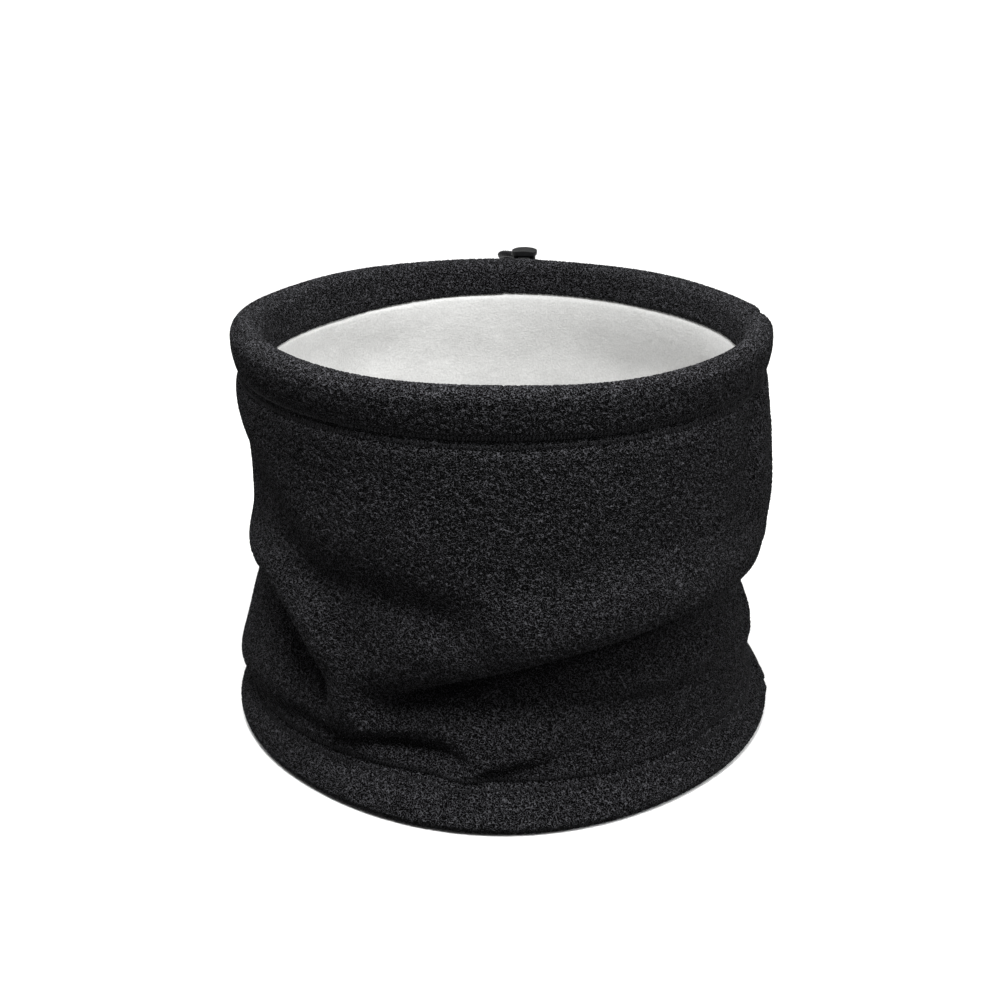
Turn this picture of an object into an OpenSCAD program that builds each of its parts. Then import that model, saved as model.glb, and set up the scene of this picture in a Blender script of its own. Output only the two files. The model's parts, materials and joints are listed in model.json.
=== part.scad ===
// Neck gaiter: a lined fleece tube that stands on its lower hem, with a rolled
// upper hem, an elastic drawcord in that hem and a spring cord lock at the rear.
// Millimetres. Origin: centre of the lower hem's rim, on the surface it stands on.
// +Z is up, +Y is the rear, where the drawcord comes out, and +X is the seam's side.

/* [Tube] */
// Height of the tube as it stands, slouched
tube_height = 130; // [126:1:140]
// Outer radius of the wall between the folds
wall_radius = 85; // [84:0.5:90]
// How far the slouch draws the waist in
waist_depth = 6.5; // [0:0.5:7]
// Height of the slouched waist above the surface
waist_height = 50; // [44:1:60]
// How far the lower hem flares out past the wall
hem_flare = 6; // [3:0.5:8]
// Thickness of the outer fleece
fleece = 2.6; // [2.2:0.1:2.8]
// Thickness of the lining fleece
lining_thick = 1.8; // [1.4:0.1:2]

/* [Hems and seams] */
// Depth of the upper hem, crest to seam
upper_hem = 15; // [14.5:0.1:15.5]
// Height of the lower hem
lower_hem = 12; // [11:0.5:14]
// Outer radius of the roll at the crest
roll = 4.5; // [4.4:0.1:4.6]
// Distance between the two rows of a coverstitch
row_gap = 2.6; // [2:0.1:3]
// Radius of the sewing thread
thread = 0.35; // [0.25:0.05:0.4]

/* [Drawcord and cord lock] */
// Diameter of the elastic drawcord
cord = 2.5; // [2.3:0.1:2.5]
// Distance from the rear centre line to each eyelet
eyelet_side = 3.6; // [3.5:0.1:3.7]
// Travel of the cord lock's plunger
press = 2.6; // [2:0.1:2.6]
// Width of the cord lock's body
lock_wide = 11.8; // [11.6:0.1:14]
// Depth of the cord lock's body, front to rear
lock_deep = 9; // [8.8:0.1:9]

/* [Hidden] */
$fn = 96;

// Heights of the two hem seams and of the roll's centre
upper_seam = tube_height - upper_hem;
lower_seam = lower_hem;
roll_z = tube_height - roll;
// Radius of the crest, and of the open channel that the roll leaves for the drawcord
crest_r = wall_radius + 0.5 - roll;
channel = roll - fleece;
// Inner faces of the two hems, straight where a head goes through
neck_r = crest_r - roll;
foot_r = wall_radius - 3.6;
// Lower edge of the turned-in band of the upper hem
band_low = upper_seam + 1.6;
// How far a seam pulls the wall in, and how wide the dent is
upper_dent = 1.5;
lower_dent = 0.8;
dent_wide = 2.2;
// Width of the slouched waist, and the step between the wall's points
waist_wide = 13;
wall_step = 3;
// Gap between shell and lining
ply_gap = 0.3;
// Small roundings of cut edges
edge = 0.8;

// Height of the eyelets, and of the cords through the lock
cord_z = tube_height - 8.8;
cord_r = cord / 2;
// Circle that the drawcord follows in its channel
channel_r = neck_r + fleece + 0.05 + cord_r;
// The circle's two ends stop this far from the rear centre line
ring_end = 1.5;
// Eyelet: barrel, bore, flange outside the hem and washer inside it
barrel_r = 2.3;
bore_r = 1.6;
flange_r = 3.3;
flange = 0.7;
flange_y = wall_radius + 0.45;
washer_r = 2.8;
washer = 0.2;
washer_y = wall_radius - 3.3;
cord_exit = wall_radius + 1.4;

// Cord lock: centre, half gap between its two cords, and its hole
lock_y = wall_radius + 13;
pair = 1.3;
hole_r = 1.55;
slot_wide = 2 * (pair + cord_r) + 0.5;
body_top = cord_z + 2.3;
body_low = cord_z - 9.6;
well_low = cord_z - 8.6;
stem_wide = 8.2;
stem_deep = 5.4;
stem_low = cord_z - 3.4;
slide_gap = 0.3;
cap_low = body_top + press + 0.3;
cap_high = cap_low + 1.8;
cap_wide = 9.4;
cap_deep = 8;
cap_crown = 18;
spring_r = 1.9;
wire_r = 0.25;
spring_turns = 4;
spring_gap = 0.05;

// Route of the free drawcord, from the left eyelet through the lock, round the
// loop and back through the lock to the right eyelet
loop_route = [
    [-3.6, 86.4, 121.2], [-3.6, 86.9, 121.2], [-3.4, 88.2, 121.2], [-2.8, 89.7, 121.2],
    [-2.1, 91, 121.2], [-1.5, 92.3, 121.2], [-1.3, 93.6, 121.2], [-1.3, 99, 121.2],
    [-1.3, 105, 121.2], [-1.3, 111, 121.2], [-1.8, 112.9, 121.4], [-3.1, 114.5, 121.8],
    [-5, 115.6, 122.1], [-7.1, 116.4, 122.2], [-9, 117.6, 122], [-10.4, 119.4, 121.4],
    [-10.9, 121.5, 120.5], [-10.4, 123.7, 119.4], [-8.9, 125.4, 118.4], [-6.8, 126.4, 117.7],
    [-4.4, 126.4, 117.4], [-2.3, 125.3, 117.6], [-0.7, 123.4, 118.3], [0.3, 121, 119.2],
    [0.9, 118.2, 120.2], [1.2, 115, 120.9], [1.3, 111, 121.2], [1.3, 105, 121.2],
    [1.3, 99, 121.2], [1.3, 93.6, 121.2], [1.5, 92.3, 121.2], [2.1, 91, 121.2],
    [2.8, 89.7, 121.2], [3.4, 88.2, 121.2], [3.6, 86.9, 121.2], [3.6, 86.4, 121.2]];

function bell(z, middle, wide) = exp(-pow((z - middle) / wide, 2));

// How far the lower hem stands out past the wall at height z
function flare(z) = hem_flare * pow(1 - min(z, lower_hem) / lower_hem, 1.3);

// Outer radius of the wall at height z
function wall_r(z) = wall_radius + flare(z) - waist_depth * bell(z, waist_height, waist_wide)
    - upper_dent * bell(z, upper_seam, dent_wide) - lower_dent * bell(z, lower_seam, dent_wide);

// The wall's line at a depth below its outer face, from height a up to height b
function wall_up(a, b, depth) =
    let (n = ceil((b - a) / wall_step))
    [for (i = [0:n]) let (z = a + (b - a) * i / n) [wall_r(z) - depth, z]];

function reversed(line) = [for (i = [len(line) - 1:-1:0]) line[i]];

function arc(middle, radius, a, b, n) =
    [for (i = [0:n]) let (t = a + (b - a) * i / n) middle + radius * [cos(t), sin(t)]];

function unit(v) = v / norm(v);

// Rings of a round tube along a list of points
function tube_points(route, radius, sides) = [for (i = [0:len(route) - 1])
    let (a = route[max(i - 1, 0)], b = route[min(i + 1, len(route) - 1)],
        along = unit(b - a), side = unit(cross(along, [0, 0, 1])), up = cross(side, along))
    for (k = [0:sides - 1]) let (t = 360 * k / sides)
    route[i] + radius * (cos(t) * side + sin(t) * up)];

function tube_faces(rings, sides) = concat(
    [[for (k = [0:sides - 1]) k]],
    [for (i = [0:rings - 2], k = [0:sides - 1])
        let (a = i * sides, b = a + sides, n = (k + 1) % sides) [a + k, b + k, b + n, a + n]],
    [[for (k = [sides - 1:-1:0]) (rings - 1) * sides + k]]);

module tube(route, radius, sides) {
    polyhedron(tube_points(route, radius, sides), tube_faces(len(route), sides));
}

// Rectangle with round corners
module round_rect(wide, deep, corner) {
    square([wide, deep - 2 * corner], center = true);
    square([wide - 2 * corner, deep], center = true);
    for (x = [-1, 1], y = [-1, 1])
        translate([x * (wide / 2 - corner), y * (deep / 2 - corner)]) circle(corner, $fn = 32);
}

// Cylinder along +Y from one y to another
module bar(x, z, radius, from_y, to_y) {
    translate([x, from_y, z]) rotate([-90, 0, 0]) cylinder(h = to_y - from_y, r = radius, $fn = 48);
}

// Rows of stitching that run round the wall, half sunk into it
module hem_rows(seam) {
    for (side = [-1, 1]) let (z = seam + side * row_gap / 2)
        rotate_extrude() translate([wall_r(z) + 0.1, z]) circle(thread, $fn = 16);
}

module outer_shell() {
    color([0.12, 0.12, 0.13]) difference() {
        rotate_extrude() polygon(concat(
            arc([crest_r, roll_z], roll, 180, 0, 16),
            reversed(wall_up(edge, roll_z - 3, 0)),
            [[wall_r(0) - edge, 0], [foot_r + edge, 0], [foot_r, edge], [foot_r, lower_hem - 0.5]],
            wall_up(lower_hem, roll_z - 3, fleece),
            arc([crest_r, roll_z], channel, 0, 180, 12),
            [[neck_r + fleece, band_low + edge], [neck_r + fleece - edge, band_low],
                [neck_r + edge, band_low], [neck_r, band_low + edge]]));
        for (side = [-1, 1])
            bar(side * eyelet_side, cord_z, barrel_r + 0.05, washer_y - 0.8, wall_radius + 2);
    }
}

// The lining's top edge is tucked behind the turned-in band of the upper hem
module lining() {
    tuck_out = wall_radius - upper_dent - fleece - ply_gap;
    tuck_in = neck_r + fleece + ply_gap;
    color([0.86, 0.86, 0.85]) rotate_extrude() polygon(concat(
        wall_up(lower_hem + 0.6, upper_seam - 1.5, fleece + ply_gap),
        [[tuck_out, upper_seam - 0.8], [tuck_out, upper_seam + 3.4], [tuck_in, upper_seam + 3.4],
            [tuck_in, upper_seam + 0.6]],
        reversed(wall_up(lower_hem + 0.6, upper_seam - 1.5, fleece + ply_gap + lining_thick))));
}

module upper_hem_thread() {
    color([0.1, 0.1, 0.11]) hem_rows(upper_seam);
}

module lower_hem_thread() {
    color([0.1, 0.1, 0.11]) hem_rows(lower_seam);
}

// Thread that covers the cut edge of the turned-in band, on the inside
module inner_hem_thread() {
    color([0.1, 0.1, 0.11]) rotate_extrude()
        translate([neck_r + 2.4, band_low - 0.6]) circle(0.4, $fn = 16);
}

// Raised side seam between the two hem seams
module side_seam_thread() {
    seam_angle = 1.2;
    low = lower_seam + 3;
    high = upper_seam - 3;
    color([0.1, 0.1, 0.11]) rotate([0, 0, -seam_angle / 2]) rotate_extrude(angle = seam_angle)
        polygon(concat(wall_up(low, high, 0.1), reversed(wall_up(low, high, -0.25))));
}

module eyelet(side) {
    x = side * eyelet_side;
    color([0.2, 0.2, 0.21]) difference() {
        union() {
            bar(x, cord_z, barrel_r, washer_y, flange_y + 0.1);
            bar(x, cord_z, flange_r, flange_y, flange_y + flange);
        }
        bar(x, cord_z, bore_r, washer_y - 1, wall_radius + 2);
    }
}

module eyelet_left() {
    eyelet(-1);
}

module eyelet_right() {
    eyelet(1);
}

module eyelet_washer(side) {
    x = side * eyelet_side;
    color([0.45, 0.45, 0.46]) difference() {
        bar(x, cord_z, washer_r, washer_y, washer_y + washer);
        bar(x, cord_z, barrel_r + 0.02, washer_y - 1, washer_y + 1);
    }
}

module washer_left() {
    eyelet_washer(-1);
}

module washer_right() {
    eyelet_washer(1);
}

// The drawcord inside the hem, and its two legs out through the eyelets
module drawcord() {
    half = asin(ring_end / channel_r);
    color([0.08, 0.08, 0.09]) {
        rotate([0, 0, 90 + half]) rotate_extrude(angle = 360 - 2 * half)
            translate([channel_r, cord_z]) circle(cord_r, $fn = 24);
        for (side = [-1, 1])
            bar(side * eyelet_side, cord_z, cord_r - 0.03, channel_r, cord_exit);
    }
}

module drawcord_loop() {
    color([0.08, 0.08, 0.09]) tube(loop_route, cord_r, 8);
}

// Hole for the pair of cords, along Y
module pair_hole(from_y, to_y) {
    for (side = [-1, 1]) bar(side * pair, cord_z, hole_r, from_y, to_y);
    translate([-pair, from_y, cord_z - hole_r]) cube([2 * pair, to_y - from_y, 2 * hole_r]);
}

module cord_lock_body() {
    tall = body_top - body_low;
    middle = (body_top + body_low) / 2;
    color([0.05, 0.05, 0.06]) difference() {
        intersection() {
            translate([0, lock_y, body_low]) linear_extrude(tall) round_rect(lock_wide, lock_deep, 2.4);
            translate([0, lock_y, middle]) rotate([90, 0, 0])
                linear_extrude(lock_deep + 2, center = true) round_rect(lock_wide, tall, 1.4);
        }
        translate([0, lock_y, stem_low - press - 0.4]) linear_extrude(20)
            round_rect(stem_wide + 2 * slide_gap, stem_deep + 2 * slide_gap, 1.2);
        translate([0, lock_y, well_low]) cylinder(h = 8, r = spring_r + wire_r + slide_gap, $fn = 48);
        pair_hole(lock_y - lock_deep, lock_y + lock_deep);
    }
}

module cord_lock_plunger() {
    slot_low = cord_z - hole_r;
    slot_tall = 2 * hole_r + press + 0.15;
    color([0.05, 0.05, 0.06]) difference() {
        union() {
            translate([0, lock_y, stem_low]) linear_extrude(cap_low - stem_low + 0.1)
                round_rect(stem_wide, stem_deep, 0.9);
            intersection() {
                translate([0, lock_y, cap_low]) linear_extrude(cap_high - cap_low)
                    round_rect(cap_wide, cap_deep, 2.6);
                bar(0, cap_high - cap_crown, cap_crown, lock_y - 10, lock_y + 10);
            }
        }
        translate([0, lock_y, slot_low + slot_tall / 2]) rotate([90, 0, 0])
            linear_extrude(cap_deep + 4, center = true) round_rect(slot_wide, slot_tall, 1.2);
    }
}

// Compression spring in the well below the plunger's stem
module cord_lock_spring() {
    low = well_low + wire_r + spring_gap;
    high = stem_low - wire_r - spring_gap;
    steps = spring_turns * 14;
    coil = [for (i = [0:steps]) let (t = 360 * spring_turns * i / steps)
        [spring_r * cos(t), lock_y + spring_r * sin(t), low + (high - low) * i / steps]];
    color([0.7, 0.7, 0.72]) tube(coil, wire_r, 6);
}

outer_shell();
lining();
upper_hem_thread();
lower_hem_thread();
inner_hem_thread();
side_seam_thread();
eyelet_left();
eyelet_right();
washer_left();
washer_right();
drawcord();
drawcord_loop();
cord_lock_body();
cord_lock_plunger();
cord_lock_spring();
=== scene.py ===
"""Neck gaiter: a lined fleece tube standing slouched on its lower hem, with a drawcord and a cord lock.

Heights and radii are worked out in millimetres and scaled to metres when a mesh is made.
An azimuth is in degrees round the tube, 0 at the camera's side of the front and positive to the right.
"""
import json
import math
import bpy
import numpy as np
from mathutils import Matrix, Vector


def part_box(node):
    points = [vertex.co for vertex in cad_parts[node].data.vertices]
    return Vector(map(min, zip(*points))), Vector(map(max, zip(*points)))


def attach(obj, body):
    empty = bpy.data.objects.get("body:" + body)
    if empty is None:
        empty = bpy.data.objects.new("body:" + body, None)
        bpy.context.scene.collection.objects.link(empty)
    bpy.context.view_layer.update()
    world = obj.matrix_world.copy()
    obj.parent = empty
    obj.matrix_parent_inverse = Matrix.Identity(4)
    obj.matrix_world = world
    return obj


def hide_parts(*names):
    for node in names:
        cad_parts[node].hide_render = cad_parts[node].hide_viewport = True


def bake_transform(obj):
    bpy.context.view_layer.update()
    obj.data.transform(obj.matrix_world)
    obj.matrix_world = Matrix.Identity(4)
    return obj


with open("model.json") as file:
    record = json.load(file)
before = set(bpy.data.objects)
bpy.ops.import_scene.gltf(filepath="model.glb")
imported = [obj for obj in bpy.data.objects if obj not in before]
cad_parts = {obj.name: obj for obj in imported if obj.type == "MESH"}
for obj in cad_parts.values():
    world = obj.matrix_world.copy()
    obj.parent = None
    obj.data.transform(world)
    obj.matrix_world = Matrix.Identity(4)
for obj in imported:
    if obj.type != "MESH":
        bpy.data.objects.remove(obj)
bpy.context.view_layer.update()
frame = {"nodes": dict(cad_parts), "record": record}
MM = 0.001

# ---------------------------------------------------------------- driving sizes, in mm
shell_high = np.array(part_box("outer_shell")[1]) / MM
mounts = {mount["name"]: mount for mount in frame["record"]["mounts"]}
NECK_R = mounts["neck_opening"]["dims"]["r_mm"]
HEIGHT = shell_high[2]
WALL_R = 85.0
LINED_R = 80.0
# Radius of the roll, height of its centre, and radius of its crest
ROLL = 4.2
ROLL_Z = HEIGHT - ROLL - 0.3
CREST_R = NECK_R + ROLL + 0.1
# Rounding of the lower hem's edge, heights of the two hem seams and of the turned-in band's lower edge
HEM_ROUND = 2.6
UPPER_SEAM = 115.0
LOWER_SEAM = 12.0
BAND_LOW = 116.6
# Thicknesses of the two cloths, and how far the pile stands out
FLEECE = 2.6
LINING = 1.8
PILE = 0.62
LINING_NAP = 0.12
# Distance between the two rows of a coverstitch
ROW_GAP = 2.6
STITCH_ROWS = tuple(seam + side * ROW_GAP / 2 for seam in (UPPER_SEAM, LOWER_SEAM) for side in (-1, 1))
# Radius of the channel in the roll, thickness of the band, and depth of the lower hem's inner face
CHANNEL = 1.8
BAND = 1.6
HEM_INSIDE = 6.0
# Columns and row steps of the shell's and the lining's grids
SHELL_COLUMNS = 1280
SHELL_STEP = 0.42
LINING_COLUMNS = 480
LINING_STEP = 1.1
# The cord's diameter, the sampling of its surface, and the depth, pitch and strands of its braid
CORD = 2.5
CORD_STEP = 0.22
CORD_SIDES = 28
BRAID_DEEP = 0.09
BRAID_PITCH = 2.2
STRANDS = 8
# Radius of the spring's wire, and its turns
SPRING_WIRE = 0.25
SPRING_TURNS = 4

# The camera stands this far round from the middle of the front, in degrees; then its place in mm
# from the part's axis and base, its downward tilt in radians, and its lens in mm
CAMERA_TURN = 5.0
CAMERA_AWAY = 480.0
CAMERA_HIGH = 255.0
CAMERA_SIDE = -0.6
CAMERA_DOWN = 0.376
CAMERA_LENS = 56.0


# ---------------------------------------------------------------- helpers
def piece_of(knots, x):
    """Index of the pair of knots that x lies between."""
    return np.clip(np.searchsorted(knots, x, side="right") - 1, 0, len(knots) - 2)


def hermite(start, end, slope_start, slope_end, t, wide):
    """Cubic Hermite curve at share t of a piece wide between its knots."""
    return ((2 * t**3 - 3 * t**2 + 1) * start + (t**3 - 2 * t**2 + t) * wide * slope_start
            + (3 * t**2 - 2 * t**3) * end + (t**3 - t**2) * wide * slope_end)


def smooth_path(points, along, s):
    """Smooth curve through points, whose knots are at the lengths along, sampled at the lengths s."""
    slope = np.gradient(points, along, axis=0)
    i = piece_of(along, s)
    wide = (along[i + 1] - along[i])[:, None]
    t = (s - along[i])[:, None] / wide
    return hermite(points[i], points[i + 1], slope[i], slope[i + 1], t, wide)


def periodic(azimuth, knots):
    """Smooth closed curve through (azimuth, value) knots, by cubic Hermite pieces."""
    at = np.array([k[0] for k in knots], float)
    value = np.array([k[1] for k in knots], float)
    at3 = np.concatenate([at - 360, at, at + 360])
    value3 = np.tile(value, 3)
    slope = np.gradient(value3, at3)
    x = (np.asarray(azimuth, float) - at[0]) % 360 + at[0]
    i = piece_of(at3, x)
    wide = at3[i + 1] - at3[i]
    return hermite(value3[i], value3[i + 1], slope[i], slope[i + 1], (x - at3[i]) / wide, wide)


def smooth(x, low, high):
    """Share from 0 at low to 1 at high, level at both ends."""
    t = np.clip((np.asarray(x, float) - low) / (high - low), 0, 1)
    return t * t * (3 - 2 * t)


def bell(x, middle, wide):
    """A hump of height 1 at middle."""
    return np.exp(-((x - middle) / wide) ** 2)


def ripple(azimuth, z, seed, azimuth_wave, z_wave):
    """Slow, even unevenness from a few crossing waves; it closes on itself round the tube."""
    rng = np.random.default_rng(seed)
    total = 0
    for _ in range(5):
        turns = rng.integers(1, max(2, int(360 / azimuth_wave)) + 1)
        rise = rng.uniform(-1, 1) / z_wave
        total = total + np.cos(np.radians(azimuth) * turns + 2 * np.pi * (z * rise + rng.random()))
    return total / 5


def hashed(cells, seed):
    """Three random numbers from 0 to 1 for each whole-number cell."""
    x, y, z = (cells[..., k].astype(np.int64) for k in range(3))
    out = []
    for k in range(3):
        h = (x * 73856093) ^ (y * 19349663) ^ (z * 83492791) ^ ((seed + k) * 2654435761)
        h = (h ^ (h >> 13)) * 1274126177 & 0xFFFFFFFF
        h = (h ^ (h >> 16)) * 2246822519 & 0xFFFFFFFF
        out.append(((h ^ (h >> 15)) & 0xFFFFFF) / 0xFFFFFF)
    return np.stack(out, -1)


def tufts(around, along, turn_length, size, seed):
    """Height from 0 to 1 of round tufts about size apart, on a skin unrolled to mm.

    It closes round the tube after turn_length.
    """
    cells = int(round(turn_length / size))
    p = np.stack([around / turn_length * cells, along / size], -1)
    cell = np.floor(p).astype(np.int64)
    nearest = np.full(len(p), 9.0)
    for dx in (-1, 0, 1):
        for dy in (-1, 0, 1):
            c = cell + np.array([dx, dy])
            key = np.stack([c[:, 0] % cells, c[:, 1], np.zeros(len(c), np.int64)], -1)
            d = c + hashed(key, seed)[:, :2] - p
            nearest = np.minimum(nearest, np.einsum("ij,ij->i", d, d))
    return np.clip(1 - nearest / 0.7, 0, 1)


def place(azimuth, radius, z):
    """Points in mm from azimuth, radius and height; azimuth 0 faces the camera's side."""
    turn = np.radians(azimuth + CAMERA_TURN)
    return np.stack([radius * np.sin(turn), -radius * np.cos(turn), z], -1)


def grid_faces(rows, columns, closed_rows):
    """Quads of a grid whose columns close into a ring, and whose rows may close too."""
    r = np.arange(rows if closed_rows else rows - 1)
    c = np.arange(columns)
    a = (r[:, None] * columns + c[None, :]).ravel()
    b = (r[:, None] * columns + (c[None, :] + 1) % columns).ravel()
    up = (((r[:, None] + 1) % rows) * columns + c[None, :]).ravel()
    up_b = (((r[:, None] + 1) % rows) * columns + (c[None, :] + 1) % columns).ravel()
    return np.stack([a, b, up_b, up], -1)


def mesh_piece(name, points_mm, faces, material):
    """A smooth-shaded mesh piece from points in mm and equal-sided faces."""
    sides = faces.shape[1]
    mesh = bpy.data.meshes.new(name)
    mesh.vertices.add(len(points_mm))
    mesh.vertices.foreach_set("co", (np.asarray(points_mm) * MM).astype(np.float32).ravel())
    mesh.loops.add(faces.size)
    mesh.loops.foreach_set("vertex_index", faces.astype(np.int32).ravel())
    mesh.polygons.add(len(faces))
    mesh.polygons.foreach_set("loop_start", np.arange(0, faces.size, sides, dtype=np.int32))
    mesh.polygons.foreach_set("loop_total", np.full(len(faces), sides, np.int32))
    mesh.polygons.foreach_set("use_smooth", np.ones(len(faces), bool))
    mesh.update()
    mesh.validate()
    mesh.materials.append(material)
    piece = bpy.data.objects.new(name, mesh)
    bpy.context.scene.collection.objects.link(piece)
    return piece


# ---------------------------------------------------------------- camera, light and floor
def make_camera():
    """The scene's camera, in front of the part and above it."""
    turn = math.radians(CAMERA_TURN)
    away = np.array([math.sin(turn), -math.cos(turn), 0]) * CAMERA_AWAY
    side = np.array([math.cos(turn), math.sin(turn), 0]) * CAMERA_SIDE
    data = bpy.data.cameras.new("camera")
    data.lens = CAMERA_LENS
    data.sensor_width = 36
    data.clip_start = 0.01
    camera = bpy.data.objects.new("camera", data)
    camera.location = (away + side + np.array([0, 0, CAMERA_HIGH])) * MM
    camera.rotation_euler = (math.pi / 2 - CAMERA_DOWN, 0, turn)
    bpy.context.scene.collection.objects.link(camera)
    bpy.context.scene.camera = camera


def soft_light(name, azimuth, elevation, strength, spread):
    """A distant soft light from an azimuth and elevation, all in degrees."""
    data = bpy.data.lights.new(name, "SUN")
    data.energy = strength
    data.angle = math.radians(spread)
    light = bpy.data.objects.new(name, data)
    light.rotation_euler = (math.radians(90 - elevation), 0, math.radians(azimuth + CAMERA_TURN))
    bpy.context.scene.collection.objects.link(light)


def make_studio():
    """The dim white world, four soft lights from far off, a near softbox, the backdrop and the floor."""
    bpy.context.scene.view_settings.view_transform = "Standard"
    world = bpy.data.worlds.new("studio")
    world.use_nodes = True
    background = world.node_tree.nodes["Background"]
    background.inputs["Color"].default_value = (1, 1, 1, 1)
    background.inputs["Strength"].default_value = 0.13
    bpy.context.scene.world = world
    soft_light("front_soft", -6, 75, 0.4, 20)
    soft_light("left_soft", -135, 50, 1.2, 40)
    soft_light("right_soft", 72, 50, 1.9, 40)
    soft_light("rear_soft", 180, 58, 1.4, 60)
    softbox = bpy.data.lights.new("softbox", "AREA")
    softbox.shape = "DISK"
    softbox.size = 0.2
    softbox.energy = 2.2
    softbox_lamp = bpy.data.objects.new("softbox", softbox)
    softbox_lamp.location = (0.0, -0.16, 0.42)
    softbox_lamp.rotation_euler = (math.radians(18), 0, 0)
    bpy.context.scene.collection.objects.link(softbox_lamp)
    # A white backdrop that only the camera sees, where a low view looks past the floor
    bpy.ops.mesh.primitive_uv_sphere_add(segments=48, ring_count=24, radius=8)
    backdrop = bpy.context.object
    backdrop.name = "backdrop"
    white, _, glow = new_material("backdrop_white", (0, 0, 0), 0.5)
    glow.inputs["Emission Color"].default_value = (1, 1, 1, 1)
    glow.inputs["Emission Strength"].default_value = 1.05
    backdrop.data.materials.append(white)
    for ray in ("diffuse", "glossy", "transmission", "volume_scatter", "shadow"):
        setattr(backdrop, "visible_" + ray, False)
    bpy.ops.mesh.primitive_plane_add(size=17, location=(0, 0, 0))
    floor = bpy.context.object
    floor.name = "floor"
    paper, _, _ = new_material("floor_paper", (0.92, 0.92, 0.92), 0.9)
    floor.data.materials.append(paper)
    # The floor bounces no light back, so that the folds keep their depth of shade
    floor.visible_diffuse = False


# ---------------------------------------------------------------- materials
def new_material(name, colour, roughness):
    """A node material with its tree and its shader."""
    material = bpy.data.materials.new(name)
    material.use_nodes = True
    tree = material.node_tree
    shader = tree.nodes["Principled BSDF"]
    shader.inputs["Base Color"].default_value = (*colour, 1)
    shader.inputs["Roughness"].default_value = roughness
    return material, tree, shader


def noise_node(tree, scale, detail):
    """A noise texture in the part's own coordinates."""
    coordinates = tree.nodes.get("coordinates")
    if coordinates is None:
        coordinates = tree.nodes.new("ShaderNodeTexCoord")
        coordinates.name = "coordinates"
    noise = tree.nodes.new("ShaderNodeTexNoise")
    noise.inputs["Scale"].default_value = scale
    noise.inputs["Detail"].default_value = detail
    tree.links.new(coordinates.outputs["Object"], noise.inputs["Vector"])
    return noise


def ramp_node(tree, source, stops):
    """A colour ramp with (position, colour) stops."""
    ramp = tree.nodes.new("ShaderNodeValToRGB")
    while len(ramp.color_ramp.elements) < len(stops):
        ramp.color_ramp.elements.new(0.5)
    for element, (at, colour) in zip(ramp.color_ramp.elements, stops):
        element.position = at
        element.color = (*colour, 1)
    tree.links.new(source, ramp.inputs["Fac"])
    return ramp


def bump_node(tree, height, strength, distance, normal=None):
    """A bump from a height socket, laid over a normal socket if one is given."""
    bump = tree.nodes.new("ShaderNodeBump")
    bump.inputs["Strength"].default_value = strength
    bump.inputs["Distance"].default_value = distance
    tree.links.new(height, bump.inputs["Height"])
    if normal is not None:
        tree.links.new(normal, bump.inputs["Normal"])
    return bump


def fleece_material():
    """Black polar fleece: a pattern of curls, with a painted highlight along their crests and painted shade
    between them.
    """
    material, tree, shader = new_material("black_fleece", (0.015, 0.015, 0.0165), 0.95)
    shader.inputs["Specular IOR Level"].default_value = 0.06
    shader.inputs["Sheen Weight"].default_value = 0.01
    shader.inputs["Sheen Roughness"].default_value = 0.35
    shader.inputs["Sheen Tint"].default_value = (0.88, 0.89, 0.96, 1)
    push_noise = noise_node(tree, 1500, 1)
    push = tree.nodes.new("ShaderNodeVectorMath")
    push.operation = "MULTIPLY_ADD"
    push.inputs[1].default_value = (0.0006, 0.0006, 0.0006)
    tree.links.new(push_noise.outputs["Color"], push.inputs[0])
    tree.links.new(tree.nodes["coordinates"].outputs["Object"], push.inputs[2])
    # The curls' crests run where the pushed noise crosses its middle value
    curl = noise_node(tree, 1500, 0)
    tree.links.new(push.outputs[0], curl.inputs["Vector"])
    crossing = tree.nodes.new("ShaderNodeMath")
    crossing.operation = "PINGPONG"
    crossing.inputs[1].default_value = 0.5
    tree.links.new(curl.outputs["Fac"], crossing.inputs[0])
    ridge = tree.nodes.new("ShaderNodeMapRange")
    ridge.clamp = False
    ridge.inputs["From Min"].default_value = 0.32
    ridge.inputs["From Max"].default_value = 0.5
    tree.links.new(crossing.outputs[0], ridge.inputs["Value"])
    fibre = noise_node(tree, 3300, 1)
    mix = tree.nodes.new("ShaderNodeMath")
    mix.operation = "MULTIPLY_ADD"
    mix.inputs[1].default_value = 0.5
    tree.links.new(fibre.outputs["Fac"], mix.inputs[0])
    tree.links.new(ridge.outputs["Result"], mix.inputs[2])
    # The ramp paints light and shade into the colour: a painted highlight on the curls' crests and painted
    # shade in the gaps between them; the same pattern also drives the bump
    colour = ramp_node(tree, mix.outputs[0], [
        (0.4, (0.0006, 0.0006, 0.00065)),
        (0.85, (0.0078, 0.0078, 0.0085)),
        (1.0, (0.076, 0.076, 0.083))])
    tree.links.new(colour.outputs["Color"], shader.inputs["Base Color"])
    bump = bump_node(tree, mix.outputs[0], 1.0, 0.0007)
    tree.links.new(bump.outputs["Normal"], shader.inputs["Normal"])
    return material


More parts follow.
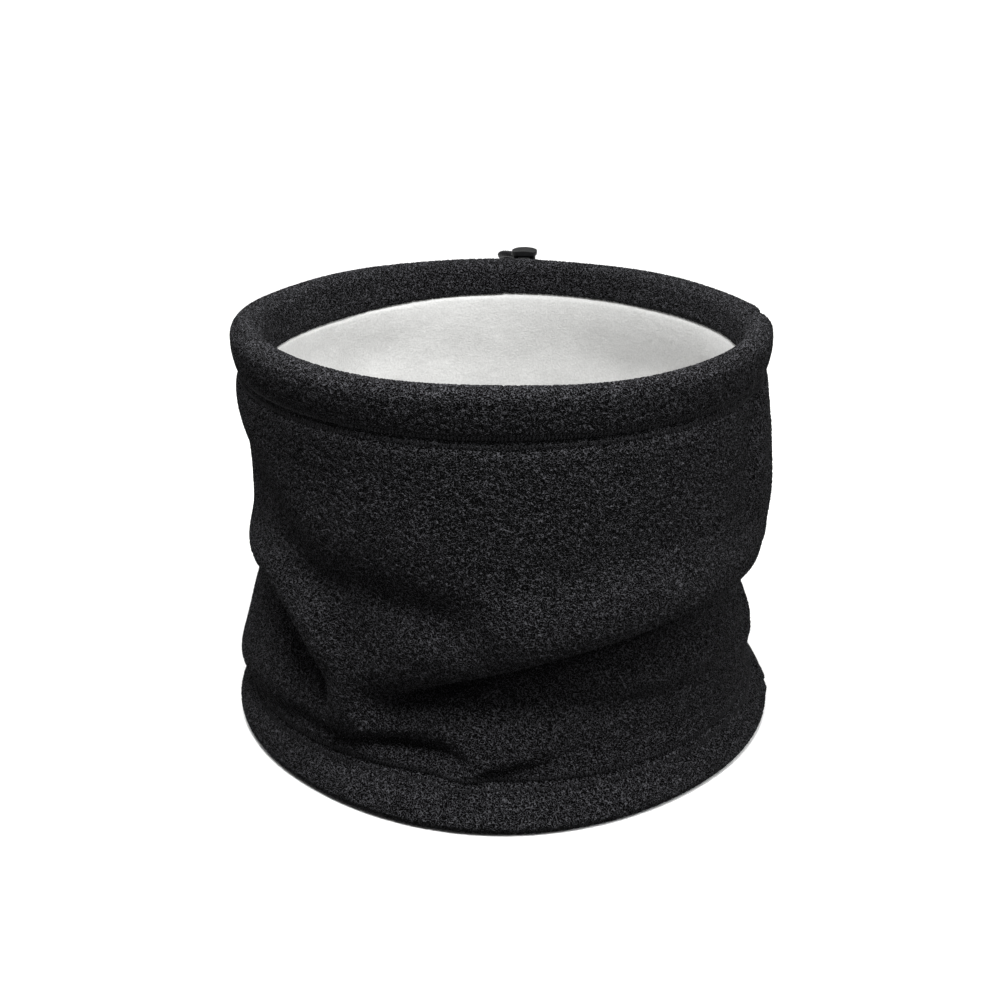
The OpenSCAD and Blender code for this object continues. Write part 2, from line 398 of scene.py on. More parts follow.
def lining_material():
    """Pale grey microfleece with a short brushed nap."""
    material, tree, shader = new_material("grey_lining", (0.62, 0.62, 0.61), 0.9)
    shader.inputs["Sheen Weight"].default_value = 0.3
    shader.inputs["Sheen Roughness"].default_value = 0.4
    nap = noise_node(tree, 1400, 3)
    cloud = noise_node(tree, 90, 3)
    mix = tree.nodes.new("ShaderNodeMath")
    mix.operation = "MULTIPLY_ADD"
    mix.inputs[1].default_value = 0.5
    tree.links.new(cloud.outputs["Fac"], mix.inputs[0])
    tree.links.new(nap.outputs["Fac"], mix.inputs[2])
    colour = ramp_node(tree, mix.outputs[0], [
        (0.5, (0.57, 0.57, 0.56)), (0.75, (0.64, 0.64, 0.63)), (0.95, (0.70, 0.70, 0.69))])
    tree.links.new(colour.outputs["Color"], shader.inputs["Base Color"])
    bump = bump_node(tree, nap.outputs["Fac"], 0.5, 0.0003)
    tree.links.new(bump.outputs["Normal"], shader.inputs["Normal"])
    return material


def thread_material():
    """Spun polyester sewing thread, twisted."""
    material, tree, shader = new_material("black_thread", (0.012, 0.012, 0.013), 0.7)
    shader.inputs["Specular IOR Level"].default_value = 0.08
    shader.inputs["Sheen Weight"].default_value = 0.0
    twist = noise_node(tree, 3000, 2)
    colour = ramp_node(tree, twist.outputs["Fac"], [
        (0.35, (0.004, 0.004, 0.0044)), (0.7, (0.022, 0.022, 0.024))])
    tree.links.new(colour.outputs["Color"], shader.inputs["Base Color"])
    bump = bump_node(tree, twist.outputs["Fac"], 0.5, 0.0001)
    tree.links.new(bump.outputs["Normal"], shader.inputs["Normal"])
    return material


def elastic_material():
    """Braided elastic cord: a smooth black yarn."""
    material, tree, shader = new_material("black_elastic", (0.018, 0.018, 0.02), 0.55)
    shader.inputs["Specular IOR Level"].default_value = 0.15
    yarn = noise_node(tree, 2500, 2)
    colour = ramp_node(tree, yarn.outputs["Fac"], [
        (0.35, (0.003, 0.003, 0.0035)), (0.7, (0.012, 0.012, 0.013))])
    tree.links.new(colour.outputs["Color"], shader.inputs["Base Color"])
    bump = bump_node(tree, yarn.outputs["Fac"], 0.4, 0.0001)
    tree.links.new(bump.outputs["Normal"], shader.inputs["Normal"])
    return material


def plastic_material():
    """Black moulded plastic with a fine spark-eroded texture and slightly rounded edges."""
    material, tree, shader = new_material("black_plastic", (0.011, 0.011, 0.012), 0.42)
    shader.inputs["Specular IOR Level"].default_value = 0.18
    grain = noise_node(tree, 4000, 2)
    wear = noise_node(tree, 350, 3)
    rough = tree.nodes.new("ShaderNodeMapRange")
    rough.inputs["From Min"].default_value = 0.3
    rough.inputs["From Max"].default_value = 0.7
    rough.inputs["To Min"].default_value = 0.5
    rough.inputs["To Max"].default_value = 0.65
    tree.links.new(wear.outputs["Fac"], rough.inputs["Value"])
    tree.links.new(rough.outputs["Result"], shader.inputs["Roughness"])
    colour = ramp_node(tree, wear.outputs["Fac"], [
        (0.3, (0.002, 0.002, 0.0022)), (0.75, (0.005, 0.005, 0.0055))])
    tree.links.new(colour.outputs["Color"], shader.inputs["Base Color"])
    round_edge = tree.nodes.new("ShaderNodeBevel")
    round_edge.samples = 4
    round_edge.inputs["Radius"].default_value = 0.0004
    bump = bump_node(tree, grain.outputs["Fac"], 0.25, 0.00006, round_edge.outputs["Normal"])
    tree.links.new(bump.outputs["Normal"], shader.inputs["Normal"])
    return material


def metal_material(name, colour, roughness, metallic):
    """Metal or painted metal with a fine grain in its gloss."""
    material, tree, shader = new_material(name, colour, roughness)
    shader.inputs["Metallic"].default_value = metallic
    scratch = noise_node(tree, 1500, 4)
    rough = tree.nodes.new("ShaderNodeMapRange")
    rough.inputs["To Min"].default_value = roughness - 0.08
    rough.inputs["To Max"].default_value = roughness + 0.12
    tree.links.new(scratch.outputs["Fac"], rough.inputs["Value"])
    tree.links.new(rough.outputs["Result"], shader.inputs["Roughness"])
    tint = ramp_node(tree, scratch.outputs["Fac"], [
        (0.3, tuple(0.8 * c for c in colour)), (0.7, tuple(1.15 * c for c in colour))])
    tree.links.new(tint.outputs["Color"], shader.inputs["Base Color"])
    bump = bump_node(tree, scratch.outputs["Fac"], 0.2, 0.00005)
    tree.links.new(bump.outputs["Normal"], shader.inputs["Normal"])
    return material


# ---------------------------------------------------------------- the slouched wall
# Radius of the wall between its folds, at eight azimuths, for each height from the upper seam down
AROUND = (-180, -135, -90, -45, 0, 45, 90, 135)
WALL_ROWS = (
    (115, (84.2, 83.6, 84.1, 84.0, 84.6, 84.6, 83.6, 83.6)),
    (105, (84.2, 83.8, 84.0, 84.0, 85.2, 85.6, 84.6, 84.0)),
    (92, (84.4, 83.4, 80.8, 84.0, 86.0, 86.6, 86.2, 84.4)),
    (76, (84.4, 83.2, 79.9, 84.0, 86.8, 87.4, 86.9, 84.4)),
    (63, (84.0, 83.2, 79.2, 84.4, 88.0, 87.4, 83.6, 83.2)),
    (55, (84.0, 83.2, 78.6, 85.0, 87.6, 85.6, 79.2, 82.2)),
    (47, (84.0, 83.4, 80.4, 84.8, 86.2, 83.6, 75.6, 82.0)),
    (37, (84.2, 84.4, 83.0, 84.6, 86.0, 84.6, 80.8, 83.0)),
    (26, (85.0, 85.4, 85.5, 86.8, 88.4, 86.4, 83.6, 84.2)),
    (17, (86.0, 86.2, 87.2, 88.6, 90.6, 87.4, 82.2, 84.8)),
    (12, (87.0, 86.8, 86.2, 89.2, 92.2, 89.0, 83.6, 86.2)),
    (6, (88.6, 88.0, 87.0, 90.6, 95.4, 91.4, 87.4, 88.2)),
    (0, (90.2, 89.6, 88.6, 92.3, 98.8, 93.4, 89.6, 90.0)))


def wall_radius(azimuth, z):
    """Radius of the wall between its folds."""
    heights = np.array([row[0] for row in WALL_ROWS][::-1], float)
    radii = np.stack([periodic(azimuth, list(zip(AROUND, row[1]))) for row in WALL_ROWS][::-1])
    z = np.clip(z, heights[0], heights[-1])
    slope = np.gradient(radii, heights, axis=0)
    i = piece_of(heights, z)
    take = np.arange(len(z))
    wide = heights[i + 1] - heights[i]
    return hermite(radii[i, take], radii[i + 1, take], slope[i, take], slope[i + 1, take],
                   (z - heights[i]) / wide, wide)


# Each fold follows a path of (azimuth, height, strength, drape) knots, drawn with its crest on the
# left hand. lift is how far the crest stands out, sink how far the crease goes in, and width the
# reach of each; drape is how far the crest hangs over the crease, in mm.
FOLDS = (
    dict(name="main", lift=3.4, sink=8.0, width=8.0, path=(
        (-31, 34, 0, 0), (-26, 37, 0.6, 2), (-20, 40.5, 0.9, 4.5), (-7, 48, 1, 6.5), (5, 54, 1, 7),
        (19, 58.5, 1, 7), (36, 60.5, 0.85, 5.5), (56, 60, 0.6, 3.5), (75, 55, 0.3, 1.5),
        (92, 50, 0.05, 0), (112, 48, 0, 0))),
    dict(name="left_ridge", lift=4.4, sink=9.8, width=6.4, path=(
        (-116, 60, 0, 0), (-92, 57, 0.1, 0), (-76, 59, 0.5, 2), (-62, 61, 1, 3), (-52, 58, 1.1, 3),
        (-45, 51.5, 1.1, 3), (-40, 43.5, 1.1, 3), (-37, 36, 0.8, 2), (-35.5, 30, 0.3, 1), (-34, 25, 0, 0))),
    dict(name="lower_left", lift=2.0, sink=4.8, width=7.4, path=(
        (-112, 11, 0, 0), (-92, 13, 0.2, 0.5), (-74, 17.5, 0.45, 1), (-58, 21, 0.55, 1.5),
        (-46, 22.5, 0.7, 2.5), (-32, 23.6, 0.95, 3.5), (-18, 24.4, 1.2, 3.5), (-10, 23.4, 1, 2.5),
        (-5, 19.5, 0, 1))),
    dict(name="lower_right", lift=1.2, sink=3.0, width=6.2, path=(
        (-7, 15.5, 0, 1), (-3, 17.5, 0.9, 2.2), (3, 19.5, 1, 2.2), (9, 19.8, 0.5, 1.2), (16, 19, 0, 0))),
    dict(name="upper_hollow", lift=1.0, sink=3.4, width=11.0, path=(
        (-64, 77, 0, 0), (-50, 75, 0.15, 0), (-40, 73, 0.65, 0.5), (-28, 72.5, 1, 1), (-15, 70, 1, 1),
        (-5, 65, 0.8, 0.5), (4, 57, 0, 0))),
    dict(name="right_hollow", lift=1.8, sink=3.4, width=8.0, path=(
        (4, 37, 0, 0), (16, 36, 0.8, 0.5), (30, 34.5, 1, 0.8), (44, 33.5, 1, 0.8), (58, 34.5, 0.8, 0.5),
        (74, 38, 0.4, 0), (90, 40, 0, 0))),
    dict(name="side_valley", lift=1.2, sink=2.4, width=5.5, path=(
        (70, 116, 0, 0), (67, 107, 0.8, 0), (63, 96, 1, 0), (61, 84, 0.8, 0), (63, 70, 0, 0))),
    dict(name="left_soft", lift=0.6, sink=1.1, width=7.0, path=(
        (-84, 104, 0, 0), (-70, 98, 0.8, 0), (-56, 90, 1, 0), (-46, 80, 0.6, 0), (-40, 72, 0, 0))),
    dict(name="rear_high", lift=2.6, sink=4.6, width=6.8, path=(
        (122, 80, 0, 0), (142, 76, 0.9, 4), (162, 69, 1, 5), (182, 64, 1, 5), (204, 63, 1, 4.5),
        (224, 68, 0.7, 2), (244, 75, 0, 0))),
    dict(name="rear_low", lift=2.2, sink=4.0, width=6.0, path=(
        (112, 24, 0, 0), (134, 30, 0.8, 2.5), (158, 36, 1, 4), (184, 37, 1, 4),
        (210, 31, 0.8, 2.5), (236, 22, 0, 0))),
)


# The side seam's azimuth at a few heights; the slouch swings it round
SEAM_LINE = ((0, 84), (12, 85), (30, 84), (50, 80), (75, 72), (95, 82), (115, 92), (140, 92))


def seam_azimuth(z):
    """Azimuth of the side seam at height z, evened out over a few mm."""
    heights, turns = zip(*SEAM_LINE)
    return sum(np.interp(z + shift, heights, turns) for shift in (-6, -3, 0, 3, 6)) / 5


def fold_shift(azimuth, z, fold, softness):
    """Outward, sideways (mm along the wall) and upward shift that one fold gives to points of the wall."""
    around = np.pi * WALL_R / 180
    path = np.array(fold["path"], float) * (around, 1, 1, 1)
    steps = np.linalg.norm(np.diff(path[:, :2], axis=0), axis=1)
    along = np.concatenate([[0], np.cumsum(steps)])
    line = smooth_path(path, along, np.linspace(0, along[-1], 90))
    middle = (line[:, 0].min() + line[:, 0].max()) / 2
    u = (azimuth * around - middle + 180 * around) % (360 * around) - 180 * around + middle
    reach = fold["width"] * softness
    near = np.where((u > line[:, 0].min() - 4 * reach) & (u < line[:, 0].max() + 4 * reach)
                    & (z > line[:, 1].min() - 4 * reach) & (z < line[:, 1].max() + 4 * reach))[0]
    out, side, up = np.zeros(len(u)), np.zeros(len(u)), np.zeros(len(u))
    if len(near) == 0:
        return out, side, up
    p = np.stack([u[near], z[near]], -1)
    best = np.full(len(p), 1e9)
    found = np.zeros((len(p), 5))
    for k in range(len(line) - 1):
        edge = line[k + 1, :2] - line[k, :2]
        size = np.linalg.norm(edge)
        t = np.clip((p - line[k, :2]) @ edge / size**2, 0, 1)
        away = p - (line[k, :2] + t[:, None] * edge)
        distance = np.einsum("ij,ij->i", away, away)
        closer = np.where(distance < best)[0]
        left = np.array([-edge[1], edge[0]]) / size
        best[closer] = distance[closer]
        found[closer, 0] = away[closer] @ left
        found[closer, 1:3] = line[k, 2:] + t[closer, None] * (line[k + 1, 2:] - line[k, 2:])
        found[closer, 3:] = left
    signed, strength, drape = found[:, 0], found[:, 1], found[:, 2]
    beyond = np.sqrt(np.maximum(best - signed**2, 0))
    strength = strength * np.exp(-(beyond / reach) ** 2)
    drape = drape / softness**2 * np.exp(-(beyond / reach) ** 2)
    q = signed / reach
    out[near] = strength * (fold["lift"] / softness**2 * bell(q, 0.85, 0.95)
                            - fold["sink"] * (0.6 * bell(q, -0.5, 0.6) + 0.5 * bell(q, -1.6, 1.2)))
    pull = -drape * bell(q, 0.5, 0.8)
    side[near] = pull * found[:, 3]
    up[near] = pull * found[:, 4]
    return out, side, up


def wall_points(azimuth, z, depth=0.0, softness=1.0):
    """Points of the slouched wall, depth inside its outer face; softness above 1 rounds its folds."""
    out, side, up = np.zeros(len(z)), np.zeros(len(z)), np.zeros(len(z))
    for fold in FOLDS:
        o, s, u = fold_shift(azimuth, z, fold, softness)
        out, side, up = out + o, side + s, up + u
    free = smooth(z, 2, 14) * (1 - smooth(z, 100, 113))
    slow = 0.6 * ripple(azimuth, z, 3, 60, 60) * free + 0.3 * ripple(azimuth, z, 8, 20, 25) * free
    seam_dent = 1.0 * bell(z, UPPER_SEAM - 0.5, 2.4) + 1.0 * bell(z, LOWER_SEAM, 2.2)
    groove = sum(0.34 * bell(z, row - 0.95, 0.5) for row in STITCH_ROWS)
    seam_off = (azimuth - seam_azimuth(z) + 180) % 360 - 180
    pinch = (1.5 * bell(seam_off, 0, 0.9) - 0.5 * bell(seam_off, -2.6, 1.6) - 0.5 * bell(seam_off, 2.6, 1.6))
    radius = (wall_radius(azimuth, z) + out * smooth(z, 4, 12) + slow - seam_dent
              - (groove + pinch) / softness**2 - depth)
    turned = azimuth + np.degrees(side / radius)
    lifted = z + up * smooth(z, 6, 20) * (1 - smooth(z, 100, 112))
    return turned, radius, lifted


def rows_between(a, b, step):
    """Evenly spaced values from a to b, about step apart."""
    return list(np.linspace(a, b, max(2, int(round(abs(b - a) / step)) + 1)))


def rim_shape(azimuth):
    """The upper hem round the tube: crest radius, roll radius, lift of the crest, band's lower edge."""
    out = periodic(azimuth, list(zip(AROUND, (-0.2, -1.8, -0.7, -0.1, 0, 0.2, -0.4, -2.2))))
    up = periodic(azimuth, list(zip(AROUND, (-1.3, -1.4, -0.4, 0.2, 0, 0.1, -0.5, -1.5))))
    seam_off = (azimuth - SEAM_LINE[-1][1] + 180) % 360 - 180
    plump = (1 + 0.03 * np.cos(np.radians(azimuth * 3 + 70)) + 0.03 * np.cos(np.radians(azimuth * 8))
             + 0.2 * bell(azimuth, -88, 42) + 0.06 * bell(np.abs(seam_off), 5.5, 2.5))
    return (CREST_R + out, ROLL * plump, up + 0.25 * np.cos(np.radians(azimuth * 5 + 10)),
            BAND_LOW - 2.8 * bell(azimuth, -112, 45))


def seam_pinch(azimuth, aslant):
    """Share of the roll that the side seam draws in; the seam crosses the roll aslant, in degrees."""
    seam_off = (azimuth - SEAM_LINE[-1][1] + 180) % 360 - 180
    return 0.5 * bell(seam_off, aslant, 1.5)


def shell_grid(columns, step):
    """The outer shell's closed grid: azimuth, radius, height, share of pile, and length along the skin."""
    azimuth = np.linspace(-180, 180, columns, endpoint=False)
    crest, roll, rim_up, band_low = rim_shape(azimuth)
    rows = []

    def add(a, r, z, pile):
        rows.append((np.broadcast_to(a, azimuth.shape), np.broadcast_to(r, azimuth.shape),
                     np.broadcast_to(z, azimuth.shape), np.full(azimuth.shape, pile)))

    # The turned-in band, from its lower cut edge up to the roll
    for share in rows_between(0, 1, step / (ROLL_Z - 1 - BAND_LOW)):
        height = share * (ROLL_Z - 1 - BAND_LOW)
        tuck = 0.5 * bell(height, 0, 1.2) + roll * seam_pinch(azimuth, -4.2) * smooth(share, 0, 0.4)
        add(azimuth, crest - roll - 0.05 + tuck,
            band_low + (ROLL_Z - 1 - band_low) * share + rim_up * smooth(share, 0, 1), 0.7)
    # The roll
    for angle in rows_between(180, 0, math.degrees(step / ROLL)):
        t = math.radians(angle)
        thick = roll * (1 - seam_pinch(azimuth, 4 - angle / 22))
        add(azimuth, crest + thick * math.cos(t), ROLL_Z + rim_up + thick * math.sin(t), 1)
    # The wall, from below the roll down to the lower hem's edge; the pile is flat under the stitching
    for z in rows_between(ROLL_Z - 0.5, HEM_ROUND, step):
        raised = HEM_ROUND * (1 - smooth(z, HEM_ROUND, 9))
        a, r, lifted = wall_points(azimuth, np.full(azimuth.shape, z - raised))
        hem = smooth(z, UPPER_SEAM + 0.5, ROLL_Z - 2)
        r = r * (1 - hem) + (crest + roll * (1 - seam_pinch(azimuth, 4))) * hem
        sewn = sum(bell(z - raised, row, 1.0) for row in STITCH_ROWS)
        add(a, r, lifted + raised + rim_up * smooth(z, UPPER_SEAM, ROLL_Z), 1 - 0.75 * min(sewn, 1))
    # Round the lower edge and up the hem's inner face
    edge_r = wall_points(azimuth, np.zeros(azimuth.shape))[1]
    for angle in rows_between(0, -180, math.degrees(step / HEM_ROUND)):
        t = math.radians(angle)
        add(azimuth, edge_r - HEM_ROUND + HEM_ROUND * math.cos(t), HEM_ROUND * (1 + math.sin(t)), 0.8)
    for z in rows_between(HEM_ROUND + 0.5, 11.5, 1.4):
        add(azimuth, wall_points(azimuth, np.full(azimuth.shape, z), HEM_INSIDE)[1], z, 0.5)
    # The wall's inner face, which the lining covers
    for z in rows_between(13, UPPER_SEAM + 3, 3.0):
        a, r, lifted = wall_points(azimuth, np.full(azimuth.shape, z), FLEECE, 1.25)
        top = smooth(z, UPPER_SEAM - 4, UPPER_SEAM + 3)
        add(a, r * (1 - top) + (crest + CHANNEL) * top, lifted, 0)
    # The channel inside the roll, and the band's hidden face
    for z in rows_between(UPPER_SEAM + 4.5, ROLL_Z - 1, 2.0):
        add(azimuth, crest + CHANNEL, z + rim_up, 0)
    for angle in rows_between(0, 180, 30):
        t = math.radians(angle)
        add(azimuth, crest + CHANNEL * math.cos(t), ROLL_Z + rim_up + BAND * math.sin(t), 0)
    for share in (1, 0.67, 0.34, 0.05):
        pinched = roll * seam_pinch(azimuth, -4.2) * smooth(share, 0, 0.4)
        add(azimuth, crest - roll + BAND + pinched,
            band_low + (ROLL_Z - 1 - band_low) * share + rim_up * smooth(share, 0, 1), 0)
    columns_of = [np.stack([row[k] for row in rows]) for k in range(4)]
    middle = place(columns_of[0], columns_of[1], columns_of[2])[:, ::40]
    steps = np.linalg.norm(np.diff(middle, axis=0), axis=2).mean(1)
    along = np.concatenate([[0], np.cumsum(steps)])
    return (*columns_of, np.broadcast_to(along[:, None], columns_of[0].shape))


def grid_normals(points, rows, columns):
    """Unit normals at the points of a grid that closes both ways."""
    p = points.reshape(rows, columns, 3)
    across = np.roll(p, -1, 1) - np.roll(p, 1, 1)
    down = np.roll(p, -1, 0) - np.roll(p, 1, 0)
    n = np.cross(across, down)
    n /= np.maximum(np.linalg.norm(n, axis=2, keepdims=True), 1e-9)
    return n.reshape(-1, 3)


def make_shell(material):
    """The outer fleece: one closed skin with turned hems, whose pile stands out in curled tufts."""
    columns = SHELL_COLUMNS
    azimuth, radius, z, pile, along = shell_grid(columns, SHELL_STEP)
    rows = azimuth.shape[0]
    points = place(azimuth, radius, z).reshape(-1, 3)
    normals = grid_normals(points, rows, columns)
    # The first row is the band's lower edge, whose visible side faces the axis
    from_middle = points[:columns] * (1, 1, 0)
    normals *= -np.sign(np.einsum("ij,ij->i", normals[:columns], from_middle).mean())
    furred = np.where(pile.reshape(-1) > 0)[0]
    turn_length = 2 * math.pi * WALL_R
    around = (azimuth.reshape(-1)[furred] + 180) / 360 * turn_length
    along = along.reshape(-1)[furred]
    curl_u = 0.25 * np.sin(along * 2.1 + 1.3 * np.sin(around * 0.9))
    curl_s = 0.25 * np.sin(around * 340 * 2 * math.pi / turn_length + 1.7 * np.sin(along * 1.1))
    tuft = tufts(around + curl_u, along + curl_s, turn_length, 1.05, 11)
    clump = tufts(around, along, turn_length, 2.6, 29)
    height = PILE * pile.reshape(-1)[furred] * (0.95 * tuft + 0.06 * clump - 0.57)
    points[furred] += normals[furred] * height[:, None]
    points[:, 2] = np.maximum(points[:, 2], 0.02)
    shell = mesh_piece("fleece_shell", points, grid_faces(rows, columns, True), material)
    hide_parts("outer_shell")
    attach(shell, "gaiter")


def make_lining(material):
    """The grey lining, a closed skin that follows the wall's inner face more softly."""
    columns = LINING_COLUMNS
    azimuth = np.linspace(-180, 180, columns, endpoint=False)
    rows = []
    heights = rows_between(UPPER_SEAM + 3.5, LOWER_SEAM + 0.6, LINING_STEP)
    inside = FLEECE + 0.35
    crest, roll, _, band_low = rim_shape(azimuth)
    band_r = crest - roll

    def add(z, depth):
        a, r, lifted = wall_points(azimuth, np.full(azimuth.shape, z), depth, 1.7)
        top = smooth(z, UPPER_SEAM - 26, UPPER_SEAM + 1)
        back = band_r + 0.7 + 1.3 * smooth(z, band_low - 0.8, band_low + 0.4) + 0.8 * (depth < inside + 0.5)
        rows.append((a, r * (1 - top) + back * top, lifted))

    for z in heights:
        add(z, inside + LINING)
    for z in heights[::-1]:
        add(z, inside)
    a, r, z = (np.stack([row[k] for row in rows]) for k in range(3))
    points = place(a, r, z).reshape(-1, 3)
    normals = grid_normals(points, len(rows), columns)
    turn_length = 2 * math.pi * LINED_R
    around = (a.reshape(-1) + 180) / 360 * turn_length
    along = np.repeat(np.arange(len(rows)) * LINING_STEP, columns)
    nap = tufts(around, along, turn_length, 2.2, 5) - 0.5
    points += normals * (LINING_NAP * nap)[:, None]
    piece = mesh_piece("fleece_lining", points, grid_faces(len(rows), columns, True), material)
    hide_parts("lining")
    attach(piece, "gaiter")


# ---------------------------------------------------------------- stitching
def end_caps(last, sides):
    """Quads that close a tube's ring at vertex 0 and its ring at vertex last."""
    faces = []
    for first in (0, last):
        for k in range(sides // 2 - 1):
            quad = (first + k, first + k + 1, first + sides - 2 - k, first + sides - 1 - k)
            faces.append(quad if first == 0 else quad[::-1])
    return faces


def capsule(length, radius, sides=6, rings=5):
    """A closed stitch along X, humped in Z, with round ends: points and faces."""
    points, faces = [], []
    for i in range(rings):
        t = i / (rings - 1) * 2 - 1
        thick = radius * math.sqrt(max(1 - (t * t) ** 2 * 0.85, 0))
        for k in range(sides):
            turn = 2 * math.pi * k / sides
            hump = thick * math.sin(turn) - radius * 0.9 * t * t
            points.append((t * length / 2, thick * math.cos(turn), hump))
    for i in range(rings - 1):
        for k in range(sides):
            n = (k + 1) % sides
            faces.append((i * sides + k, (i + 1) * sides + k, (i + 1) * sides + n, i * sides + n))
    return np.array(points), np.array(faces + end_caps((rings - 1) * sides, sides))


def stitches(name, centres, along, outward, length, radius, material, node):
    """One stitch at each centre, lying in direction along with its hump outward."""
    shape, faces = capsule(length, radius)
    across = np.cross(outward, along)
    points = (centres[:, None, :] + shape[None, :, 0:1] * along[:, None, :]
              + shape[None, :, 1:2] * across[:, None, :] + shape[None, :, 2:3] * outward[:, None, :])
    all_faces = (faces[None] + (np.arange(len(centres)) * len(shape))[:, None, None]).reshape(-1, 4)
    piece = mesh_piece(name, points.reshape(-1, 3), all_faces, material)
    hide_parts(node)
    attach(piece, "gaiter")


def unit(v):
    """v scaled to length 1."""
    return v / np.maximum(np.linalg.norm(v, axis=-1, keepdims=True), 1e-9)


def wall_frame(azimuth, z, sink):
    """Points on the wall with the directions round it, up it and out of it."""
    def at(da, dz):
        a, r, lifted = wall_points(azimuth + da, z + dz)
        return place(a, r, lifted)
    around = unit(at(0.3, 0) - at(-0.3, 0))
    up = unit(at(0, 0.5) - at(0, -0.5))
    outward = unit(np.cross(around, up))
    return at(0, 0) - outward * sink, around, up, outward


def make_hem_stitches(name, seam, material, node):
    """Two rows of short upright stitches, a coverstitch's face."""
    count = 500
    azimuth = np.linspace(-180, 180, count, endpoint=False)
    rng = np.random.default_rng(17)
    centres, along, outward = [], [], []
    for side in (-1, 1):
        z = np.full(count, seam + side * ROW_GAP / 2)
        # A negative sink stands the stitches a little proud of the wall
        at, around, up, out = wall_frame(azimuth + rng.normal(0, 0.04, count), z, -0.05)
        lean = rng.normal(0.12, 0.1, count)[:, None]
        centres.append(at)
        along.append(unit(up + around * lean))
        outward.append(unit(out - along[-1] * np.einsum("ij,ij->i", out, along[-1])[:, None]))
    stitches(name, np.concatenate(centres), np.concatenate(along), np.concatenate(outward),
             1.7, 0.32, material, node)


def make_band_stitches(material):
    """Short stitches over the cut edge of the turned-in band, on the inside."""
    count = 520
    azimuth = np.linspace(-180, 180, count, endpoint=False)
    crest, roll, _, band_low = rim_shape(azimuth)
    rng = np.random.default_rng(23)
    inward = -unit(place(azimuth, np.ones(count), np.zeros(count)))
    centres = place(azimuth, crest - roll + 0.35, band_low + 0.75 + rng.normal(0, 0.08, count))
    round_way = np.cross(inward, np.array([0, 0, 1.0]))
    along = unit(np.array([0, 0, 1.0]) + round_way * rng.normal(0.15, 0.12, count)[:, None])
    stitches("band_stitches", centres, along, inward, 1.5, 0.3, material, "inner_hem_thread")


def make_side_seam(material):
    """Overlocked stitches down in the side seam's groove, which swings round with the slouch."""
    z = np.arange(LOWER_SEAM + 3, UPPER_SEAM - 3, 0.9)
    azimuth = seam_azimuth(z)
    at, around, up, out = wall_frame(azimuth, z, 0.05)
    along = unit(around + 0.25 * up)
    outward = unit(out - along * np.einsum("ij,ij->i", out, along)[:, None])
    stitches("side_seam_stitches", at, along, outward, 1.5, 0.26, material, "side_seam_thread")


# ---------------------------------------------------------------- cord and spring
# The free drawcord's route, as in the part: out of the left eyelet, through the lock, round the
# loop and back into the right eyelet, in mm
LOOP_ROUTE = (
    (-3.6, 86.4, 121.2), (-3.6, 86.9, 121.2), (-3.4, 88.2, 121.2), (-2.8, 89.7, 121.2),
    (-2.1, 91, 121.2), (-1.5, 92.3, 121.2), (-1.3, 93.6, 121.2), (-1.3, 99, 121.2),
    (-1.3, 105, 121.2), (-1.3, 111, 121.2), (-1.8, 112.9, 121.4), (-3.1, 114.5, 121.8),
    (-5, 115.6, 122.1), (-7.1, 116.4, 122.2), (-9, 117.6, 122), (-10.4, 119.4, 121.4),
    (-10.9, 121.5, 120.5), (-10.4, 123.7, 119.4), (-8.9, 125.4, 118.4), (-6.8, 126.4, 117.7),
    (-4.4, 126.4, 117.4), (-2.3, 125.3, 117.6), (-0.7, 123.4, 118.3), (0.3, 121, 119.2),
    (0.9, 118.2, 120.2), (1.2, 115, 120.9), (1.3, 111, 121.2), (1.3, 105, 121.2),
    (1.3, 99, 121.2), (1.3, 93.6, 121.2), (1.5, 92.3, 121.2), (2.1, 91, 121.2),
    (2.8, 89.7, 121.2), (3.4, 88.2, 121.2), (3.6, 86.9, 121.2), (3.6, 86.4, 121.2))


def fine_route(points, step):
    """The route's own points joined by a smooth curve, sampled about every step, and its length."""
    p = np.array(points, float)
    along = np.concatenate([[0], np.cumsum(np.linalg.norm(np.diff(p, axis=0), axis=1))])
    return smooth_path(p, along, np.linspace(0, along[-1], int(along[-1] / step))), along[-1]


def tube(name, line, radius, material):
    """A closed round tube along a line, with a radius for each point round each ring."""
    sides = radius.shape[1]
    tangent = unit(np.gradient(line, axis=0))
    side = unit(np.cross(tangent, np.array([0, 0, 1.0])))
    up = np.cross(side, tangent)
    turn = 2 * np.pi * np.arange(sides) / sides
    ring = np.cos(turn)[None, :, None] * side[:, None, :] + np.sin(turn)[None, :, None] * up[:, None, :]
    points = (line[:, None, :] + radius[..., None] * ring).reshape(-1, 3)
    caps = np.array(end_caps((len(line) - 1) * sides, sides))
    return mesh_piece(name, points, np.concatenate([grid_faces(len(line), sides, False), caps]), material)


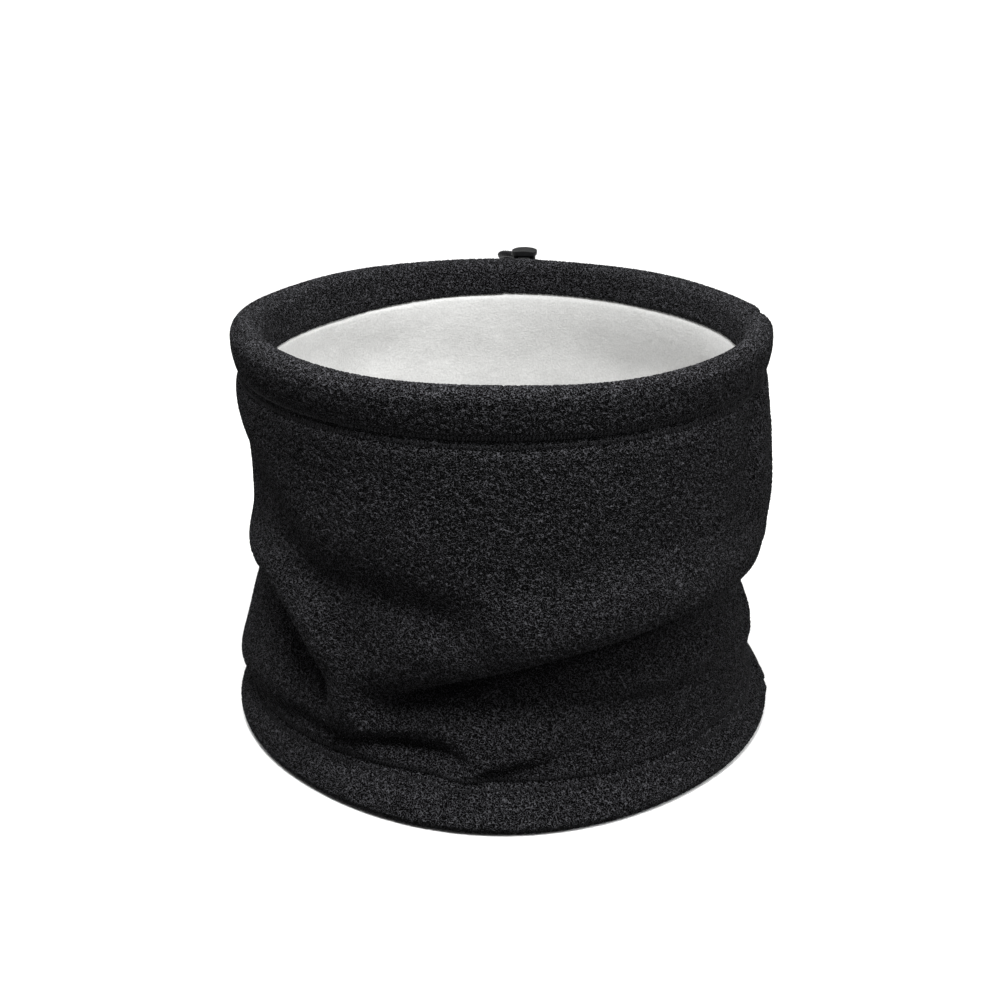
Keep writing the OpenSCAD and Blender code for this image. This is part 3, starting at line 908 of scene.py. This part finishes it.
def make_cord(material):
    """The free drawcord, with its braid, round its loop."""
    line, length = fine_route(LOOP_ROUTE, CORD_STEP)
    turn = 2 * np.pi * np.arange(CORD_SIDES) / CORD_SIDES
    s = np.arange(len(line))[:, None] * CORD_STEP
    braid = (np.cos(STRANDS / 2 * turn[None] + 2 * np.pi * s / BRAID_PITCH)
             * np.cos(STRANDS / 2 * turn[None] - 2 * np.pi * s / BRAID_PITCH))
    piece = tube("drawcord_free", line, CORD / 2 - BRAID_DEEP + BRAID_DEEP * braid, material)
    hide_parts("drawcord_loop")
    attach(piece, "gaiter")


def make_spring(material):
    """The lock's coil spring, coiled at the length its part has."""
    low, high = (np.array(corner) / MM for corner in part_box("cord_lock_spring"))
    middle = (low + high) / 2
    coil_r = (high[0] - low[0]) / 2 - SPRING_WIRE
    share = np.linspace(0, 1, SPRING_TURNS * 36 + 1)
    turn = 2 * np.pi * SPRING_TURNS * share
    tall = high[2] - low[2] - 2 * SPRING_WIRE
    line = np.stack([middle[0] + coil_r * np.cos(turn), middle[1] + coil_r * np.sin(turn),
                     low[2] + SPRING_WIRE + tall * share], -1)
    piece = tube("coil_spring", line, np.full((len(line), 12), SPRING_WIRE), material)
    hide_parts("cord_lock_spring")
    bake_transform(piece)


# ---------------------------------------------------------------- build
make_camera()
make_spring(metal_material("spring_steel", (0.6, 0.6, 0.62), 0.3, 1.0))
cord_material = elastic_material()
make_cord(cord_material)
make_studio()
fleece = fleece_material()
thread = thread_material()
make_shell(fleece)
make_lining(lining_material())
make_hem_stitches("upper_hem_stitches", UPPER_SEAM, thread, "upper_hem_thread")
make_hem_stitches("lower_hem_stitches", LOWER_SEAM, thread, "lower_hem_thread")
make_band_stitches(thread)
make_side_seam(thread)

PLASTIC = plastic_material()
CAD_FINISH = {
    "cord_lock_body": PLASTIC,
    "cord_lock_plunger": PLASTIC,
    "eyelet_left": metal_material("black_eyelet", (0.03, 0.03, 0.032), 0.35, 0.6),
    "washer_left": metal_material("plain_washer", (0.5, 0.5, 0.5), 0.35, 1.0),
    "drawcord": cord_material,
}
CAD_FINISH["eyelet_right"] = CAD_FINISH["eyelet_left"]
CAD_FINISH["washer_right"] = CAD_FINISH["washer_left"]
for name, material in CAD_FINISH.items():
    node = frame["nodes"][name]
    node.data.materials.clear()
    node.data.materials.append(material)
